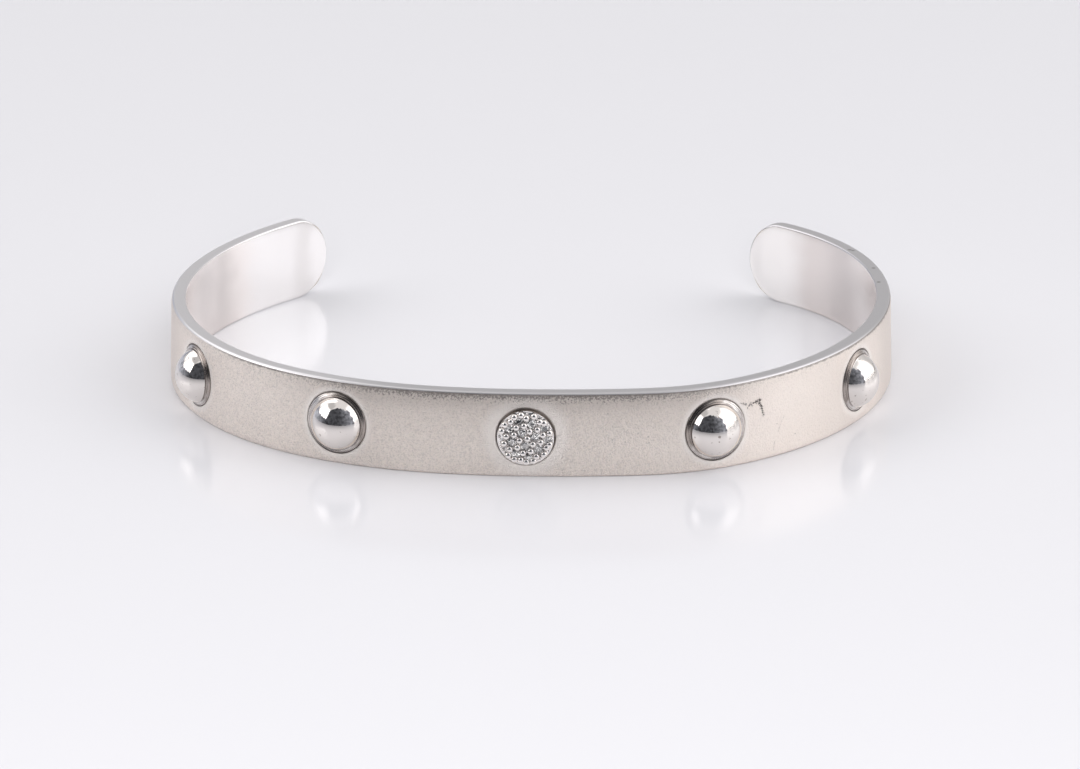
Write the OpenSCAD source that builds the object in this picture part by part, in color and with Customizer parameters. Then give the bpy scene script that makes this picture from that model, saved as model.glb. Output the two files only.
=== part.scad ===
// Open cuff bangle: a flat band bent to an oval, four polished dome studs and a
// round disc of small stones, each in its own recess. Millimetres, +Z up. The
// bangle lies on its lower edge, with the disc of stones facing -Y.

/* [Band] */
// Height of the band
band_height = 7.5; // [7.2:0.1:8.5]
// Thickness of the band
band_thickness = 1.3; // [1.2:0.05:1.6]
// Corner radius of the two tips
tip_radius = 3.5; // [2.5:0.05:3.5]

/* [Recesses] */
// Radius of the four stud recesses
stud_recess_radius = 2.78; // [2.74:0.02:2.9]
// Radius of the middle recess
disc_recess_radius = 2.62; // [2.62:0.02:2.8]
// Depth of every recess below the outer face
recess_depth = 0.45; // [0.35:0.05:0.5]
// Gap between pieces that touch on the real bangle
seat_gap = 0.04; // [0.02:0.01:0.06]

/* [Studs] */
// Radius of a stud at its foot, in the recess
foot_radius = 2.7; // [2.6:0.02:2.7]
// Radius of the sloped skirt where it meets the dome
skirt_radius = 2.36; // [2.32:0.02:2.4]
// Radius of the dome where it leaves the skirt
dome_radius = 2.27; // [2.05:0.02:2.29]
// Level of the dome's foot above the outer face
dome_foot = 0.1; // [0.1:0.05:0.3]
// Level of the dome's top above the outer face
dome_top = 1.75; // [1.35:0.05:1.9]
// Radius of the hidden post behind a stud
post_radius = 0.6; // [0.4:0.05:0.8]
// Length of the hidden post
post_length = 0.5; // [0.3:0.05:0.55]

/* [Disc of stones] */
// Radius of the disc that carries the stones, at its rim
disc_radius = 2.42; // [2.38:0.01:2.48]
// Radius of the disc at its foot, in the recess
disc_foot_radius = 2.56; // [2.5:0.02:2.58]
// Width of the disc's raised rim
rim_width = 0.1; // [0.06:0.01:0.14]
// Level of the rim above the outer face
rim_level = 0.3; // [0.1:0.05:0.4]
// Height of the middle of the disc above its rim
disc_crown = 0.2; // [0.1:0.02:0.3]
// Radius of a stone at its girdle
stone_radius = 0.44; // [0.36:0.01:0.46]
// Distance between neighbouring stones
stone_pitch = 1.17; // [1.1:0.01:1.2]
// Turn of the rows of stones
stone_turn = -16; // [-30:1:30]
// Radius of a grain that holds the stones
grain_radius = 0.22; // [0.16:0.01:0.24]

/* [Hidden] */
$fn = 64;
SILVER = "#cbc6c2";
POLISHED = "#dededf";
CRYSTAL = "#eef4f8";

// Plan of the outer face, from the middle of the front to each tip. The real
// band is bent by hand, so its halves differ a little. Columns: RADIUS, SWEEP.
RADIUS = 0;
SWEEP = 1;
RIGHT_ARCS = [[87.5, 6.5], [20.1, 25.8], [28.1, 75.2], [21, 46.5]];
LEFT_ARCS = [[63, 7.1], [33.2, 21.7], [24.7, 81.1], [31, 32.2]];

// Middle of each stud. ALONG is measured on the outer face from the middle of
// the front, less than zero to the left. Columns: ALONG, MID_Z.
ALONG = 0;
MID_Z = 1;
STUDS = [[-34.1, 3.8], [-16.65, 3.7], [16.45, 3.63], [34.05, 3.85]];
DISC = [0, 3.65];

// A place on the outer face is [x, y, heading]: the heading is the direction of
// the band there, in degrees, and the face looks to its right.
X = 0;
Y = 1;
HEADING = 2;
function rolled(place, radius, sweep) =
    let(h = place[HEADING])
    [place[X] + radius * (sin(h + sweep) - sin(h)),
     place[Y] + radius * (cos(h) - cos(h + sweep)),
     h + sweep];
function arc_start(arcs, i) =
    i == 0 ? [0, 0, 0] : rolled(arc_start(arcs, i - 1), arcs[i - 1][RADIUS], arcs[i - 1][SWEEP]);
function arc_length(arc) = arc[RADIUS] * arc[SWEEP] * PI / 180;
function degrees_along(arc, along) = along / arc[RADIUS] * 180 / PI;
function on_half(arcs, along, i = 0) =
    along <= arc_length(arcs[i])
        ? rolled(arc_start(arcs, i), arcs[i][RADIUS], degrees_along(arcs[i], along))
        : on_half(arcs, along - arc_length(arcs[i]), i + 1);
function mirrored(place) = [-place[X], place[Y], -place[HEADING]];
function place_at(along) = along < 0 ? mirrored(on_half(LEFT_ARCS, -along)) : on_half(RIGHT_ARCS, along);
function tip_place(arcs) = arc_start(arcs, len(arcs));

// How far a half reaches sideways: where its heading passes 90 degrees
function reach(arcs, i = 0) =
    arc_start(arcs, i + 1)[HEADING] > 90
        ? rolled(arc_start(arcs, i), arcs[i][RADIUS], 90 - arc_start(arcs, i)[HEADING])[X]
        : reach(arcs, i + 1);

// The middle stone's table is the foremost point. The origin is under the
// middle of the whole bangle.
crown_height = 0.14;
grain_rise = 0.1;
proud = rim_level + disc_crown + grain_rise + grain_radius / 2;
depth = max(tip_place(RIGHT_ARCS)[Y], tip_place(LEFT_ARCS)[Y]);
ORIGIN = [(reach(RIGHT_ARCS) - reach(LEFT_ARCS)) / 2, (depth - proud) / 2, 0];

// Puts children on the outer face: local X runs along the band to the right,
// local Y up it, and local Z straight out from it
module on_face(place, z) {
    translate([place[X], place[Y], z] - ORIGIN)
        rotate([0, 0, place[HEADING]])
            rotate([90, 0, 0])
                children();
}

// The band seen from above: its outer face from tip to tip, then its inner face
// back again, with a point every degree or two
function places_on(arcs, i) =
    let(steps = ceil(arcs[i][SWEEP] / plan_step))
    [for (k = [0 : steps - 1]) rolled(arc_start(arcs, i), arcs[i][RADIUS], k * arcs[i][SWEEP] / steps)];
function half_places(arcs) =
    concat([for (i = [0 : len(arcs) - 1]) each places_on(arcs, i)], [tip_place(arcs)]);
function backwards(list) = [for (k = [len(list) - 1 : -1 : 0]) list[k]];
function without_first(list) = [for (k = [1 : len(list) - 1]) list[k]];
function point_inside(place, inwards) =
    [place[X] - inwards * sin(place[HEADING]), place[Y] + inwards * cos(place[HEADING])];
plan_step = 2;
LEFT_PLACES = [for (p = half_places(LEFT_ARCS)) mirrored(p)];
PLACES = concat(backwards(LEFT_PLACES), without_first(half_places(RIGHT_ARCS)));

module band_blank() {
    outer_face = [for (p = PLACES) point_inside(p, 0)];
    inner_face = [for (p = backwards(PLACES)) point_inside(p, band_thickness)];
    linear_extrude(band_height) polygon(concat(outer_face, inner_face));
}

// What is cut from a tip to round its corners, seen square on. The blank ends at
// x = 0 and the tip a hair before it, and the round corners run out through the
// long edges at a slight angle.
module tip_cut() {
    r = tip_radius;
    trim = 0.02;
    low = r - trim;
    high = band_height - low;
    translate([-trim, 0, -2 * band_thickness]) linear_extrude(4 * band_thickness)
        difference() {
            translate([-r, -1]) square([r + 1, band_height + 2]);
            translate([-2 * r, low]) square([2 * r, high - low]);
            for (y = [low, high]) translate([-r, y]) circle(r = r);
        }
}

module recess(place, z, radius) {
    on_face(place, z) translate([0, 0, -recess_depth]) cylinder(r = radius, h = recess_depth + 1);
}

module post_hole(place, z) {
    on_face(place, z) translate([0, 0, -recess_depth - post_length - seat_gap])
        cylinder(r = post_radius + seat_gap, h = post_length + 2 * seat_gap);
}

module cuff_band() {
    color(SILVER) difference() {
        translate(-ORIGIN) band_blank();
        on_face(tip_place(RIGHT_ARCS), 0) tip_cut();
        on_face(mirrored(tip_place(LEFT_ARCS)), 0) mirror([1, 0, 0]) tip_cut();
        recess(place_at(DISC[ALONG]), DISC[MID_Z], disc_recess_radius);
        for (s = STUDS) {
            recess(place_at(s[ALONG]), s[MID_Z], stud_recess_radius);
            post_hole(place_at(s[ALONG]), s[MID_Z]);
        }
    }
}

// Half profile of a stud below its dome, turned about the post's middle
module stud_foot_profile() {
    back = -recess_depth + seat_gap;
    skirt_foot = -0.2;
    skirt_top = 0.02;
    polygon([
        [0, back - post_length], [post_radius, back - post_length],
        [post_radius, back], [foot_radius, back],
        [foot_radius, skirt_foot], [skirt_radius, skirt_top],
        [dome_radius, skirt_top], [dome_radius, dome_foot],
        [0, dome_foot],
    ]);
}

// A round cap of the given foot radius and height, standing at z = 0
module cap(foot, height) {
    ball = (foot * foot + height * height) / (2 * height);
    rotate_extrude() intersection() {
        translate([0, height - ball]) circle(r = ball, $fn = 96);
        square([foot, height]);
    }
}

module stud(i) {
    color(POLISHED) on_face(place_at(STUDS[i][ALONG]), STUDS[i][MID_Z]) {
        rotate_extrude() stud_foot_profile();
        translate([0, 0, dome_foot]) cap(dome_radius, dome_top - dome_foot);
    }
}

// Rows of stones, measured from the middle of the disc. The rows make a
// triangular net, with a grain in the middle of every triangle. Places near the
// rim are pulled in to leave it clear.
ROW = stone_pitch * [cos(stone_turn), sin(stone_turn)];
COLUMN = stone_pitch * [cos(stone_turn - 60), sin(stone_turn - 60)];
NET_START = [0.17, 0.03] - (ROW + COLUMN) / 3;
NET = [for (j = [-4 : 4], i = [-4 : 4]) NET_START + i * ROW + j * COLUMN];
function pulled_in(p, limit) = norm(p) > limit ? p * limit / norm(p) : p;
STONES = [for (p = NET) if (norm(p) < 2.1) pulled_in(p, 1.84)];
GRAINS = [for (p = NET, share = [1 / 3, 2 / 3])
    let(g = p + share * (ROW + COLUMN)) if (norm(g) < 2.5) pulled_in(g, 2.12)];

// The disc's face is part of a large ball, so what stands on it leans outwards
crown_foot = disc_radius - rim_width;
crown_ball = (crown_foot * crown_foot + disc_crown * disc_crown) / (2 * disc_crown);
module on_crown(p) {
    lean = asin(norm(p) / crown_ball);
    translate([0, 0, rim_level + disc_crown - crown_ball])
        rotate([0, 0, atan2(p[Y], p[X])])
            rotate([0, lean, 0])
                translate([0, 0, crown_ball])
                    children();
}

// Room for one stone, open at the top
module stone_seat() {
    r = stone_radius + seat_gap;
    translate([0, 0, -0.04]) cylinder(r = r, h = 1);
    translate([0, 0, -0.04 - pavilion_depth - seat_gap])
        cylinder(r1 = 0.05, r2 = r, h = pavilion_depth + seat_gap);
}

// Half profile of the disc below its domed face
module disc_profile() {
    back = -recess_depth + seat_gap;
    skirt_foot = -0.1;
    polygon([
        [0, back], [disc_foot_radius, back], [disc_foot_radius, skirt_foot],
        [disc_radius, rim_level], [0, rim_level],
    ]);
}

module pave_setting() {
    color(SILVER) on_face(place_at(DISC[ALONG]), DISC[MID_Z]) difference() {
        union() {
            rotate_extrude() disc_profile();
            translate([0, 0, rim_level]) cap(crown_foot, disc_crown);
            for (g = GRAINS) on_crown(g) translate([0, 0, grain_rise - grain_radius / 2])
                sphere(r = grain_radius, $fn = 24);
        }
        for (s = STONES) on_crown(s) stone_seat();
    }
}

// A round brilliant: table, eight stars, eight kites and sixteen upper facets
// over a thin girdle, then sixteen lower facets and eight mains to the point.
table_radius = stone_radius * 0.56;
mid_radius = stone_radius * 0.8;
pavilion_depth = stone_radius * 0.86;
girdle = 0.02;
function ring(radius, z, count, turn = 0) =
    [for (k = [0 : count - 1]) let(a = turn + k * 360 / count) [radius * cos(a), radius * sin(a), z]];
function kite_z(radius, near, far) =
    far[1] + (far[0] - radius * cos(22.5)) * (near[1] - far[1]) / (far[0] - near[0]);

module brilliant() {
    top = girdle / 2;
    table = [table_radius, top + crown_height];
    crown_edge = [stone_radius, top];
    point = [0, -top - pavilion_depth];
    culet_edge = [stone_radius, -top];
    points = concat(
        ring(table[0], table[1], 8),
        ring(mid_radius, kite_z(mid_radius, table, crown_edge), 8, 22.5),
        ring(stone_radius, top, 16),
        ring(stone_radius, -top, 16),
        ring(mid_radius * 0.45, kite_z(mid_radius * 0.45, point, culet_edge), 8, 22.5),
        [[0, 0, point[1]]]
    );
    MID = 8;
    UPPER = 16;
    LOWER = 32;
    DEEP = 48;
    POINT = 56;
    faces = concat(
        [[for (k = [7 : -1 : 0]) k]],
        [for (k = [0 : 7]) [k, (k + 1) % 8, MID + k]],
        [for (k = [0 : 7]) [k, MID + k, UPPER + 2 * k]],
        [for (k = [0 : 7]) [k, UPPER + 2 * k, MID + (k + 7) % 8]],
        [for (k = [0 : 7]) [MID + k, UPPER + 2 * k + 1, UPPER + 2 * k]],
        [for (k = [0 : 7]) [MID + k, UPPER + (2 * k + 2) % 16, UPPER + 2 * k + 1]],
        [for (k = [0 : 15]) [UPPER + k, UPPER + (k + 1) % 16, LOWER + (k + 1) % 16, LOWER + k]],
        [for (k = [0 : 7]) [LOWER + 2 * k, LOWER + 2 * k + 1, DEEP + k]],
        [for (k = [0 : 7]) [LOWER + 2 * k + 1, LOWER + (2 * k + 2) % 16, DEEP + k]],
        [for (k = [0 : 7]) [LOWER + 2 * k, DEEP + k, POINT]],
        [for (k = [0 : 7]) [LOWER + 2 * k, POINT, DEEP + (k + 7) % 8]]
    );
    polyhedron(points, faces);
}

module stone(i) {
    color(CRYSTAL) on_face(place_at(DISC[ALONG]), DISC[MID_Z]) on_crown(STONES[i]) brilliant();
}

cuff_band();
stud(0);  // stud_1
stud(1);  // stud_2
stud(2);  // stud_3
stud(3);  // stud_4
pave_setting();
stone(0);  // stone_01
stone(1);  // stone_02
stone(2);  // stone_03
stone(3);  // stone_04
stone(4);  // stone_05
stone(5);  // stone_06
stone(6);  // stone_07
stone(7);  // stone_08
stone(8);  // stone_09
stone(9);  // stone_10
stone(10);  // stone_11
stone(11);  // stone_12
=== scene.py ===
"""An open cuff bangle in matte silver, with four polished dome studs and a round disc of pave stones."""

import math

import bmesh
import bpy
from mathutils import Matrix, Vector


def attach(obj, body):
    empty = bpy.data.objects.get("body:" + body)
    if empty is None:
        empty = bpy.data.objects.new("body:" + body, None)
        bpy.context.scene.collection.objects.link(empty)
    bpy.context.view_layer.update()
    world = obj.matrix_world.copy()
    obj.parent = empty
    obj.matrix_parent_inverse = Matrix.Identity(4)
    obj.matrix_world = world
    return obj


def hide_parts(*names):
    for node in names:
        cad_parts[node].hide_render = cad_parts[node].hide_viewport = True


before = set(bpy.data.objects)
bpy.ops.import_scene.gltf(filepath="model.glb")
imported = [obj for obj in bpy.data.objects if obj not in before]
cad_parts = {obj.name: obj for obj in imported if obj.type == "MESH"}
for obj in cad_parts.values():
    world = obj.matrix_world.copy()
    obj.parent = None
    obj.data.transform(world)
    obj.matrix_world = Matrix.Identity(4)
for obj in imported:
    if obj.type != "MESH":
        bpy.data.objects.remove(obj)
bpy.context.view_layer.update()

# Sizes are in millimetres, and MM turns them into the scene's metres
MM = 0.001

# The plan is a run of arcs from the middle of the front to each tip, as in the part's source: radius, and
# sweep in degrees
BAND_HEIGHT = 7.5
BAND_THICKNESS = 1.3
TIP_RADIUS = 3.5
RIGHT_ARCS = ((87.5, 6.5), (20.1, 25.8), (28.1, 75.2), (21.0, 46.5))
LEFT_ARCS = ((63.0, 7.1), (33.2, 21.7), (24.7, 81.1), (31.0, 32.2))
PLAN_ORIGIN = Vector((-0.5116, 23.7975))
BAND_LEAN = math.radians(1.5)

# Where each stud and the disc sit: distance along the outer face, and height. The disc's recess is drawn in
# by 0.07 from the one in the part's source.
STUD_PLACES = ((-34.1, 3.8), (-16.65, 3.7), (16.45, 3.63), (34.05, 3.85))
DISC_PLACE = (0.0, 3.65)
STUD_RECESS_RADIUS = 2.78
DISC_RECESS_RADIUS = 2.55
RECESS_DEPTH = 0.45
RECESSES = tuple((s, z, STUD_RECESS_RADIUS) for s, z in STUD_PLACES) + (DISC_PLACE + (DISC_RECESS_RADIUS,),)

# For its materials the band is also laid out flat on a net, where each kind of face has a strip of its own
OUTER_FACE, INNER_FACE, EDGE_FACE, RECESS_FACE = range(4)
NET_SIZE = 150
NET_LIFT = 10


# The bend of the band

PLAN_STEP = 0.1
STEPS_PAST_TIP = 20
BLEND_REACH = 2.0
BLEND_SAMPLES = 4


def half_length(arcs):
    return sum(radius * math.radians(sweep) for radius, sweep in arcs)


def curvature_on(arcs, along):
    for radius, sweep in arcs:
        length = radius * math.radians(sweep)
        if along <= length:
            return 1 / radius
        along -= length
    return 1 / arcs[-1][0]


def blended_curvature(arcs, along):
    """The curvature averaged over a short reach, which eases the arcs into each other."""
    shifts = range(-BLEND_SAMPLES, BLEND_SAMPLES + 1)
    reach = BLEND_REACH / BLEND_SAMPLES
    return sum(curvature_on(arcs, max(0.0, along + shift * reach)) for shift in shifts) / len(shifts)


def half_plan(arcs):
    """Points and headings from the middle of the front to a tip and a little past it."""
    x, y, heading = 0.0, 0.0, 0.0
    plan = [(x, y, heading)]
    for k in range(int(half_length(arcs) / PLAN_STEP) + STEPS_PAST_TIP):
        half_turn = blended_curvature(arcs, (k + 0.5) * PLAN_STEP) * PLAN_STEP / 2
        heading += half_turn
        x += PLAN_STEP * math.cos(heading)
        y += PLAN_STEP * math.sin(heading)
        heading += half_turn
        plan.append((x, y, heading))
    return plan


RIGHT_PLAN = half_plan(RIGHT_ARCS)
LEFT_PLAN = half_plan(LEFT_ARCS)
LEFT_END = -half_length(LEFT_ARCS)
RIGHT_END = half_length(RIGHT_ARCS)


def plan_at(along):
    """The outer face seen from above, at a distance along it: x, y and heading."""
    plan = RIGHT_PLAN if along >= 0 else LEFT_PLAN
    place = abs(along) / PLAN_STEP
    k = min(int(place), len(plan) - 2)
    share = place - k
    x, y, heading = (a + (b - a) * share for a, b in zip(plan[k], plan[k + 1]))
    return (x, y, heading) if along >= 0 else (-x, y, -heading)


def on_band(along, height, level):
    """A point of the bent band, in metres. Level is measured outwards from the outer face."""
    x, y, heading = plan_at(along)
    out = level + (BAND_HEIGHT / 2 - height) * math.tan(BAND_LEAN)
    return Vector((
        (x + out * math.sin(heading) - PLAN_ORIGIN.x) * MM,
        (y - out * math.cos(heading) - PLAN_ORIGIN.y) * MM,
        height * MM,
    ))


def seat(along, height, lean=BAND_LEAN):
    """The place of a piece set in the face: local X along the band, Y up it and Z straight out of it."""
    heading = plan_at(along)[2]
    turn = Matrix.Rotation(heading, 4, "Z") @ Matrix.Rotation(math.pi / 2 - lean, 4, "X")
    return Matrix.Translation(on_band(along, height, 0)) @ turn @ Matrix.Scale(MM, 4)


def placed(name, bm, materials):
    """Turns a finished shape into an object of the scene."""
    mesh = bpy.data.meshes.new(name)
    bm.to_mesh(mesh)
    bm.free()
    for material in materials:
        mesh.materials.append(material)
    piece = bpy.data.objects.new(name, mesh)
    bpy.context.collection.objects.link(piece)
    return piece


def finished(name, bm, materials, replaced):
    """Turns a finished shape into a piece that rides on the bangle and stands for its CAD nodes."""
    piece = placed(name, bm, materials)
    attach(piece, "root")
    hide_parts(*replaced)


# Node helpers

def new_material(name):
    material = bpy.data.materials.new(name)
    material.use_nodes = True
    tree = material.node_tree
    return material, tree, tree.nodes["Principled BSDF"]


def put(tree, value, socket):
    if isinstance(value, bpy.types.NodeSocket):
        tree.links.new(value, socket)
    else:
        socket.default_value = value


def put_colour(tree, colour, socket):
    """Sets a colour, given as a triple or a node's output."""
    put(tree, (*colour, 1) if isinstance(colour, tuple) else colour, socket)


def dress(tree, shader, colour, roughness, metallic=1.0):
    put_colour(tree, colour, shader.inputs["Base Color"])
    put(tree, roughness, shader.inputs["Roughness"])
    put(tree, metallic, shader.inputs["Metallic"])


def calc(tree, operation, *values):
    node = tree.nodes.new("ShaderNodeMath")
    node.operation = operation
    for value, socket in zip(values, node.inputs):
        put(tree, value, socket)
    return node.outputs[0]


def chained(tree, operation, values):
    """Runs through the values with an operation on two of them at a time."""
    total = values[0]
    for value in values[1:]:
        total = calc(tree, operation, total, value)
    return total


def plus(tree, *values):
    return chained(tree, "ADD", values)


def times(tree, *values):
    return chained(tree, "MULTIPLY", values)


def largest(tree, *values):
    return chained(tree, "MAXIMUM", values)


def smallest(tree, *values):
    return chained(tree, "MINIMUM", values)


def vector_calc(tree, operation, *values):
    node = tree.nodes.new("ShaderNodeVectorMath")
    node.operation = operation
    for value, socket in zip(values, node.inputs):
        put(tree, value, socket)
    return node.outputs["Value" if operation in ("DOT_PRODUCT", "DISTANCE") else "Vector"]


def parts(tree, vector):
    """The X, Y and Z of a vector."""
    node = tree.nodes.new("ShaderNodeSeparateXYZ")
    tree.links.new(vector, node.inputs[0])
    return node.outputs


def fade(tree, value, low, high, to_low=0.0, to_high=1.0):
    """Goes smoothly from one value to another while the input goes from low to high."""
    node = tree.nodes.new("ShaderNodeMapRange")
    node.interpolation_type = "SMOOTHSTEP"
    for socket, number in zip(node.inputs, (value, low, high, to_low, to_high)):
        put(tree, number, socket)
    return node.outputs[0]


def between(tree, value, start, full, ebb, end, most=1.0):
    """Rises from 0 between start and full, and falls back to 0 between ebb and end."""
    return times(tree, fade(tree, value, start, full), fade(tree, value, ebb, end, most, 0.0))


def nudged(tree, value, noise, reach, middle=0.5):
    """Moves a value to and fro by a noise."""
    return plus(tree, value, times(tree, calc(tree, "SUBTRACT", noise, middle), reach))


def grain(tree, place, scale, detail=2.0, roughness=0.5, stretch=None):
    """Noise with its grains about 1 / scale millimetres across."""
    if stretch:
        mapping = tree.nodes.new("ShaderNodeMapping")
        tree.links.new(place, mapping.inputs["Vector"])
        mapping.inputs["Scale"].default_value = stretch
        place = mapping.outputs[0]
    node = tree.nodes.new("ShaderNodeTexNoise")
    tree.links.new(place, node.inputs["Vector"])
    node.inputs["Scale"].default_value = scale / MM
    node.inputs["Detail"].default_value = detail
    node.inputs["Roughness"].default_value = roughness
    return node.outputs[0]


def tint(tree, share, first, second):
    """Mixes two colours, each a triple or a node's output."""
    node = tree.nodes.new("ShaderNodeMix")
    node.data_type = "RGBA"
    put(tree, share, node.inputs["Factor"])
    put_colour(tree, first, node.inputs["A"])
    put_colour(tree, second, node.inputs["B"])
    return node.outputs["Result"]


def layered(tree, colour, *layers):
    """Lays tints over a colour one after the other, each with its share."""
    for share, layer in layers:
        colour = tint(tree, share, colour, layer)
    return colour


def relief(tree, height, depth, shader):
    """Bump whose full height is depth millimetres."""
    node = tree.nodes.new("ShaderNodeBump")
    node.inputs["Strength"].default_value = 1.0
    node.inputs["Distance"].default_value = depth * MM
    tree.links.new(height, node.inputs["Height"])
    tree.links.new(node.outputs[0], shader.inputs["Normal"])


def facets(tree, place, scale, tilt, shader):
    """Breaks a surface into small flat facets about 1 / scale millimetres across, each tilted its own way."""
    cells = tree.nodes.new("ShaderNodeTexVoronoi")
    tree.links.new(place, cells.inputs["Vector"])
    cells.inputs["Scale"].default_value = scale / MM
    own = vector_calc(tree, "SUBTRACT", cells.outputs["Color"], (0.5, 0.5, 0.5))
    normal = tree.nodes.new("ShaderNodeNewGeometry").outputs["Normal"]
    tilted = vector_calc(tree, "MULTIPLY_ADD", own, (tilt, tilt, tilt), normal)
    tree.links.new(vector_calc(tree, "NORMALIZE", tilted), shader.inputs["Normal"])


def object_place(tree):
    return tree.nodes.new("ShaderNodeTexCoord").outputs["Object"]


def net_place(tree, name):
    net = tree.nodes.new("ShaderNodeUVMap")
    net.uv_map = name
    return net.outputs[0]


def flat_place(tree):
    """Where a point of the band lies when the band is laid out flat: millimetres along it and up it."""
    mapping = tree.nodes.new("ShaderNodeMapping")
    tree.links.new(net_place(tree, "flat"), mapping.inputs["Vector"])
    mapping.inputs["Location"].default_value = (-NET_SIZE / 2, 0, 0)
    mapping.inputs["Scale"].default_value = (NET_SIZE, NET_SIZE, 1)
    return mapping.outputs[0]


def distance_past(tree, place, middle, radius):
    """How far a place lies outside a round thing."""
    return calc(tree, "SUBTRACT", vector_calc(tree, "DISTANCE", place, middle), radius)


def distance_to_line(tree, place, start, end):
    start, end = Vector((*start, 0)), Vector((*end, 0))
    reach = end - start
    from_start = vector_calc(tree, "SUBTRACT", place, start)
    share = calc(tree, "DIVIDE", vector_calc(tree, "DOT_PRODUCT", from_start, reach), reach.length_squared)
    share.node.use_clamp = True
    nearest = vector_calc(tree, "MULTIPLY", reach, share)
    return vector_calc(tree, "DISTANCE", from_start, nearest)


def drawn(tree, place, lines, width, wear):
    """How much of a mark there is. Its lines are solid where the wear is low and broken where it's high."""
    ends = [pair for line in lines for pair in zip(line, line[1:])]
    distance = smallest(tree, *[distance_to_line(tree, place, *pair) for pair in ends])
    ragged = nudged(tree, distance, wear, width * 7, 0.43)
    return fade(tree, ragged, width * 0.6, width * 1.5, 1.0, 0.0)


# The matte face

# Marks, in millimetres along and up
HOOK = (((20.4, 5.48), (20.79, 5.2), (20.97, 4.89)), ((20.62, 5.32), (20.78, 5.53)))
HOOK_ENDS = (((20.97, 4.89), (21.1, 4.49), (21.18, 4.14)), ((20.04, 5.37), (20.35, 5.44)))
FAINT_MARKS = (((18.91, 5.59), (19.34, 5.4)), ((19.53, 5.03), (19.82, 5.44), (20.0, 5.16)))
SCRATCHES = (
    ((23.43, 3.52), (22.91, 2.64), (22.74, 2.23)),
    ((22.35, 1.5), (22.24, 0.7)),
    ((-31.12, 6.1), (-30.63, 6.24)),
    ((-29.09, 5.86), (-28.66, 5.98)),
    ((-30.95, 5.6), (-30.47, 5.83)),
)
PITS = (
    (-16.47, 6.84), (8.53, 4.03), (9.55, 3.83), (10.41, 3.53), (10.49, 2.99), (7.34, 3.34), (8.45, 3.14),
    (6.99, 5.68), (22.63, 2.98), (24.7, 1.58),
)

# Each kind of line with its width and darkness
MARKS = ((HOOK, 0.13, 0.9), (HOOK_ENDS, 0.09, 0.88), (FAINT_MARKS, 0.07, 0.75), (SCRATCHES, 0.035, 0.22))

# Tints of the face. Clumps and grains are darker in between.
FACE_DARKER, FACE_LIGHTER = (0.965, 0.87, 0.797), (1.0, 0.927, 0.86)
BETWEEN_CLUMPS = (0.55, 0.51, 0.48)
BETWEEN_GRAINS = (0.45, 0.42, 0.4)
# Painted shade, the grey laid on the face where it is shaded
PAINTED_SHADE_GREY = (0.46, 0.41, 0.375)
# Painted highlight round the recesses
PAINTED_HIGHLIGHT_TINT = (1.0, 0.945, 0.895)
# Painted shade under the top edge, and the dirt in the edge's nicks
GRIME_AND_SHADE = (0.2, 0.18, 0.17)
MARK = (0.05, 0.045, 0.04)
BLASTED_METALLIC = 0.7
BLASTED_DEPTH = 0.125

# Noise scales: grains of the face, clumps of them, broad patches, and the breaks in the marks
FINE, CLUMPS, PATCHES, WEAR = 7.0, 2.8, 0.3, 9.0

# Stretches along the face where something sets in, is full, ebbs and ends
GREY_FRONT = (-26, -12, 14, 24)
GREY_RIGHT = (22, 30)
GREY_SIDES = (35, 42)
PAINTED_SHADE_LEFT, PAINTED_SHADE_RIGHT = (-26, -10), (8, 24)
PAINTED_SHADE_LINE = (-36, -24)
COARSE_LEFT, COARSE_RIGHT = (-38, -33), (6, 22)


def face_marks(tree, flat, place):
    """The hook, the scratches and the pits: 1 where they are darkest."""
    wear = grain(tree, place, WEAR, 1.0, 0.6)
    lines = [times(tree, drawn(tree, flat, paths, width, wear), darkness) for paths, width, darkness in MARKS]
    to_pit = smallest(tree, *[vector_calc(tree, "DISTANCE", flat, (s, z, 0)) for s, z in PITS])
    return largest(tree, *lines, fade(tree, to_pit, 0.03, 0.08, 0.4, 0.0))


def painted_face_shade(tree, along, from_top):
    """Painted shade: where the face is painted greyer, high on the front, a little at the right, and round
    the sides.
    """
    front = times(tree, fade(tree, from_top, 0.5, 5.5, 0.3, 0.0), between(tree, along, *GREY_FRONT))
    right = fade(tree, along, *GREY_RIGHT, 0.0, 0.1)
    sides = fade(tree, calc(tree, "ABSOLUTE", along), *GREY_SIDES, 0.0, 0.28)
    return largest(tree, front, sides, right)


def painted_shade_under_edge(tree, along, from_top, fine, clumps):
    """Painted shade and painted dark reflection under the top edge: specks and a haze at the front, and a
    thin line along the edge.
    """
    specks = fade(tree, nudged(tree, from_top, fine, 1.9), 0.1, 1.05, 0.85, 0.0)
    haze = fade(tree, from_top, 0.2, 2.4, 0.3, 0.0)
    at_front = times(tree, fade(tree, along, *PAINTED_SHADE_LEFT, 0.15, 1.0),
                     fade(tree, along, *PAINTED_SHADE_RIGHT, 1.0, 0.15))
    line = fade(tree, nudged(tree, from_top, clumps, 0.25), 0.2, 0.4, 0.8, 0.0)
    return largest(tree, times(tree, largest(tree, specks, haze), at_front),
                   times(tree, line, fade(tree, along, *PAINTED_SHADE_LINE)))


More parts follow.
